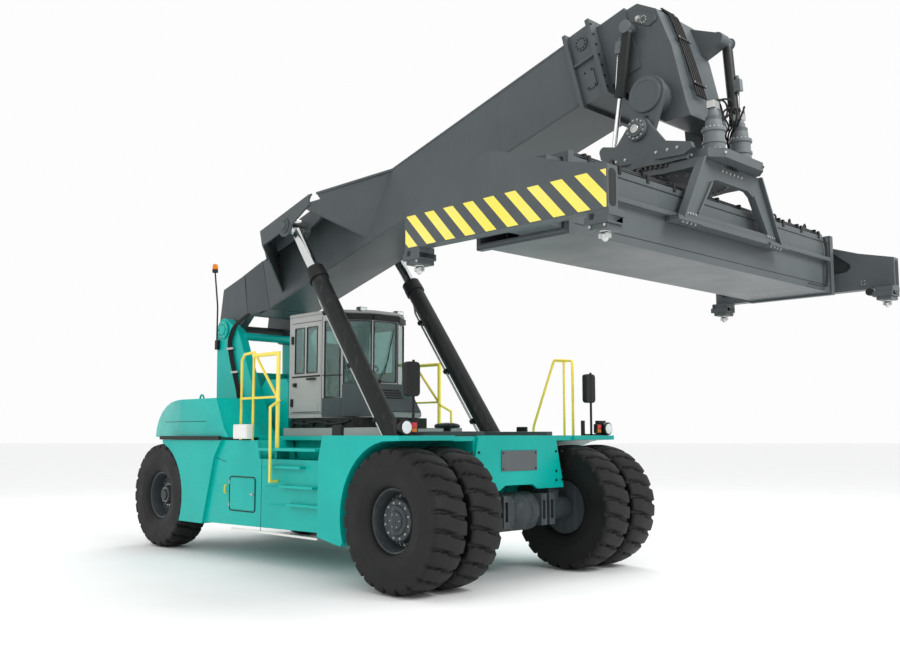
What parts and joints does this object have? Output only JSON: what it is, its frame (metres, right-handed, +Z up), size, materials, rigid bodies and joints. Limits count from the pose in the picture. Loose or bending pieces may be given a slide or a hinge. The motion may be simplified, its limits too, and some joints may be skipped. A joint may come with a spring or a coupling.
{
  "type": "reach stacker",
  "caption": "Reach stacker for shipping containers: a wheeled truck with a lifting, telescoping boom and a slewing container spreader.",
  "frame": {"origin": "on the ground under the middle of the machine's overall length and width", "axes": "+X forward, from the counterweight towards the spreader; +Y to the operator's left; +Z up"},
  "size_m": [11.1794, 6.06, 6.72],
  "materials": {
    "teal_paint": "gloss",
    "grey_paint": "satin",
    "cab_paint": "satin",
    "rim_paint": "satin",
    "black_paint": "satin",
    "yellow_paint": "gloss",
    "tyre_rubber": "matt",
    "bright_steel": "polished",
    "amber_lens": "clear",
    "seat_fabric": "matt"
  },
  "bodies": {
    "truck": {"beacon": "amber_lens", "boom_tower": "teal_paint", "cab_carriage": "black_paint", "cab_rails": "cab_paint", "cab_shell": "cab_paint", "chassis_frame": "teal_paint", "counterweight": "teal_paint", "deck_plate": "teal_paint", "drive_axle": "rim_paint", "engine_block": "black_paint", "engine_hood": "teal_paint", "front_fender_left": "teal_paint", "front_fender_right": "teal_paint", "front_panel": "teal_paint", "handrail_left": "yellow_paint", "handrail_right": "yellow_paint", "lamp_and_mirror_left": "black_paint", "lamp_and_mirror_right": "black_paint", "operator_seat": "seat_fabric", "side_box_left": "teal_paint", "side_box_right": "teal_paint", "steer_axle": "rim_paint", "steering_console": "black_paint"},
    "front_wheels_right": {"front_outer_tyre_right": "tyre_rubber", "front_inner_tyre_right": "tyre_rubber", "front_rim_right": "rim_paint"},
    "front_wheels_left": {"front_outer_tyre_left": "tyre_rubber", "front_inner_tyre_left": "tyre_rubber", "front_rim_left": "rim_paint"},
    "knuckle_right": {"steer_knuckle_right": "rim_paint"},
    "knuckle_left": {"steer_knuckle_left": "rim_paint"},
    "rear_wheel_right": {"rear_tyre_right": "tyre_rubber", "rear_rim_right": "rim_paint"},
    "rear_wheel_left": {"rear_tyre_left": "tyre_rubber", "rear_rim_left": "rim_paint"},
    "door": {"cab_door": "cab_paint"},
    "boom": {"outer_boom": "grey_paint"},
    "boom_slider": {"inner_boom": "grey_paint"},
    "barrel_right": {"lift_barrel_right": "black_paint"},
    "barrel_left": {"lift_barrel_left": "black_paint"},
    "rod_right": {"lift_rod_right": "bright_steel"},
    "rod_left": {"lift_rod_left": "bright_steel"},
    "level_barrel_rear": {"rear_level_barrel": "grey_paint"},
    "level_rod_rear": {"rear_level_rod": "bright_steel"},
    "level_barrel_front": {"front_level_barrel": "grey_paint"},
    "level_rod_front": {"front_level_rod": "bright_steel"},
    "slew_frame": {"slewing_frame": "grey_paint"},
    "bracket": {"spreader_bracket": "grey_paint"},
    "beam": {"spreader_beam": "grey_paint"},
    "end_right": {"telescope_right": "grey_paint"},
    "end_left": {"telescope_left": "grey_paint"}
  },
  "joints": [
    {"name": "front_right_spin", "type": "hinge", "parent": "truck", "child": "front_wheels_right", "pos_m": [1.76025, -1.54, 0.84], "axis": [0, 1, 0], "continuous": true},
    {"name": "front_left_spin", "type": "hinge", "parent": "truck", "child": "front_wheels_left", "pos_m": [1.76025, 1.54, 0.84], "axis": [0, 1, 0], "continuous": true},
    {"name": "steer_right", "type": "hinge", "parent": "truck", "child": "knuckle_right", "pos_m": [-4.53975, -0.98, 0.84], "axis": [0, 0, 1], "range_deg": [-55, 55]},
    {"name": "steer_left", "type": "hinge", "parent": "truck", "child": "knuckle_left", "pos_m": [-4.53975, 0.98, 0.84], "axis": [0, 0, 1], "range_deg": [-55, 55]},
    {"name": "rear_right_spin", "type": "hinge", "parent": "knuckle_right", "child": "rear_wheel_right", "pos_m": [-4.53975, -1.38, 0.84], "axis": [0, 1, 0], "continuous": true},
    {"name": "rear_left_spin", "type": "hinge", "parent": "knuckle_left", "child": "rear_wheel_left", "pos_m": [-4.53975, 1.38, 0.84], "axis": [0, 1, 0], "continuous": true},
    {"name": "door_hinge", "type": "hinge", "parent": "truck", "child": "door", "pos_m": [-2.06945, -0.74, 2.2], "axis": [0, 0, -1], "range_deg": [0, 85]},
    {"name": "boom_lift", "type": "hinge", "parent": "truck", "child": "boom", "pos_m": [-4.09975, 0, 3.585], "axis": [0, -1, 0], "range_deg": [-13.6, 44.4]},
    {"name": "boom_extend", "type": "slide", "parent": "boom", "child": "boom_slider", "axis": [-0.9632, 0, -0.2689], "range_m": [-6, 0]},
    {"name": "barrel_swing_right", "type": "hinge", "parent": "truck", "child": "barrel_right", "pos_m": [0.86025, -0.95, 1.4], "axis": [0, -1, 0], "range_deg": [-1.5, 4]},
    {"name": "rod_stroke_right", "type": "slide", "parent": "barrel_right", "child": "rod_right", "axis": [-0.5927, 0, 0.8054], "range_m": [-0.66, 2.1]},
    {"name": "barrel_swing_left", "type": "hinge", "parent": "truck", "child": "barrel_left", "pos_m": [0.86025, 0.95, 1.4], "axis": [0, -1, 0], "range_deg": [-1.5, 4]},
    {"name": "rod_stroke_left", "type": "slide", "parent": "barrel_left", "child": "rod_left", "axis": [-0.5927, 0, 0.8054], "range_m": [-0.66, 2.1]},
    {"name": "level_swing_rear", "type": "hinge", "parent": "boom_slider", "child": "level_barrel_rear", "pos_m": [4.06025, -0.5, 6.42], "axis": [0, -1, 0], "range_deg": [-3.4, 1.3]},
    {"name": "level_stroke_rear", "type": "slide", "parent": "level_barrel_rear", "child": "level_rod_rear", "axis": [-0.1577, 0, -0.9875], "range_m": [-0.37, 0.12]},
    {"name": "level_swing_front", "type": "hinge", "parent": "boom_slider", "child": "level_barrel_front", "pos_m": [4.73025, 0.5, 6.33], "axis": [0, -1, 0], "range_deg": [-11, 3.6]},
    {"name": "level_stroke_front", "type": "slide", "parent": "level_barrel_front", "child": "level_rod_front", "axis": [0.0767, 0, -0.9971], "range_m": [-0.12, 0.36]},
    {"name": "spreader_level", "type": "hinge", "parent": "boom_slider", "child": "slew_frame", "pos_m": [4.29025, 0, 5.13], "axis": [0, -1, 0], "range_deg": [-45, 14]},
    {"name": "slew", "type": "hinge", "parent": "slew_frame", "child": "bracket", "pos_m": [4.35025, 0, 4.7], "axis": [0, 0, 1], "range_deg": [-105, 195]},
    {"name": "side_shift", "type": "slide", "parent": "bracket", "child": "beam", "axis": [0, 1, 0], "range_m": [-0.8, 0.8]},
    {"name": "telescope_right", "type": "slide", "parent": "beam", "child": "end_right", "axis": [0, -1, 0], "range_m": [0, 3.05]},
    {"name": "telescope_left", "type": "slide", "parent": "beam", "child": "end_left", "axis": [0, 1, 0], "range_m": [0, 3.05]}
  ],
  "couplings": [
    {"joint": "steer_left", "follows": "steer_right", "ratio": 1},
    {"joint": "telescope_left", "follows": "telescope_right", "ratio": 1},
    {"joint": "spreader_level", "follows": "boom_lift", "ratio": -1},
    {"joint": "barrel_swing_right", "follows": "boom_lift", "ratio": 0.08},
    {"joint": "rod_stroke_right", "follows": "boom_lift", "m_per_rad": 2.66},
    {"joint": "barrel_swing_left", "follows": "boom_lift", "ratio": 0.08},
    {"joint": "rod_stroke_left", "follows": "boom_lift", "m_per_rad": 2.66},
    {"joint": "level_swing_rear", "follows": "boom_lift", "ratio": -0.07},
    {"joint": "level_stroke_rear", "follows": "boom_lift", "m_per_rad": -0.455},
    {"joint": "level_swing_front", "follows": "boom_lift", "ratio": -0.24},
    {"joint": "level_stroke_front", "follows": "boom_lift", "m_per_rad": 0.441}
  ]
}
